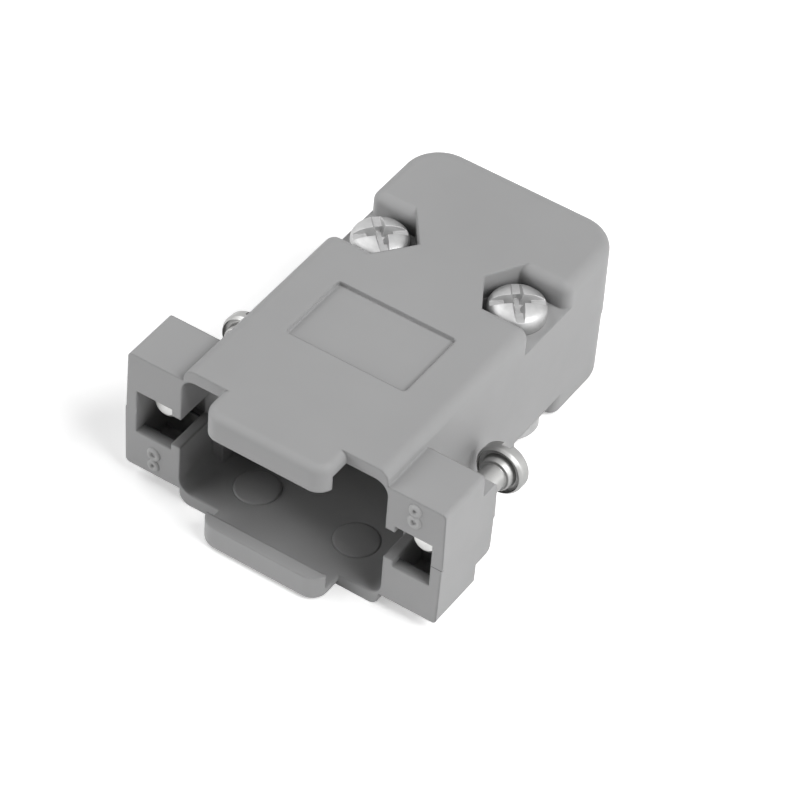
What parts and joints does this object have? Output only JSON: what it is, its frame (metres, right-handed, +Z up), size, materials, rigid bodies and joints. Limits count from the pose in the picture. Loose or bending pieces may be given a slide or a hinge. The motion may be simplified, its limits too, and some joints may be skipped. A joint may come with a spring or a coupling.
{
  "type": "d-sub connector hood",
  "caption": "Two-piece plastic hood for a D-shaped connector, with captive jackscrews in its ears, pan-head housing screws and a cable clamp inside the outlet.",
  "frame": {"origin": "centre of the connector opening, in the plane of the ear faces, where the two halves part", "axes": "+X across the connector, +Y from the mating end towards the cable outlet, +Z up out of the upper half; the hood lies on the flat of its lower half"},
  "size_m": [0.0306, 0.038, 0.015],
  "materials": {
    "grey_abs": "fine moulded matt",
    "nickel_steel": "bright nickel plate",
    "zinc_steel": "bright zinc plate",
    "clamp_steel": "plated strip"
  },
  "bodies": {
    "hood": {"upper_shell": "grey_abs", "lower_shell": "grey_abs", "housing_screw_right": "zinc_steel", "housing_screw_left": "zinc_steel", "housing_nut_right": "zinc_steel", "housing_nut_left": "zinc_steel", "clamp_saddle_upper": "clamp_steel", "clamp_saddle_lower": "clamp_steel", "clamp_screw_right": "zinc_steel", "clamp_screw_left": "zinc_steel"},
    "right_jackscrew": {"jackscrew_right": "nickel_steel"},
    "left_jackscrew": {"jackscrew_left": "nickel_steel"}
  },
  "joints": [
    {"name": "right_jackscrew_slide", "type": "slide", "parent": "hood", "child": "right_jackscrew", "axis": [0, 0.9954, -0.0958], "range_m": [-0.0039, 0.0002]},
    {"name": "left_jackscrew_slide", "type": "slide", "parent": "hood", "child": "left_jackscrew", "axis": [0, 0.9954, -0.0958], "range_m": [-0.0039, 0.0002]}
  ]
}
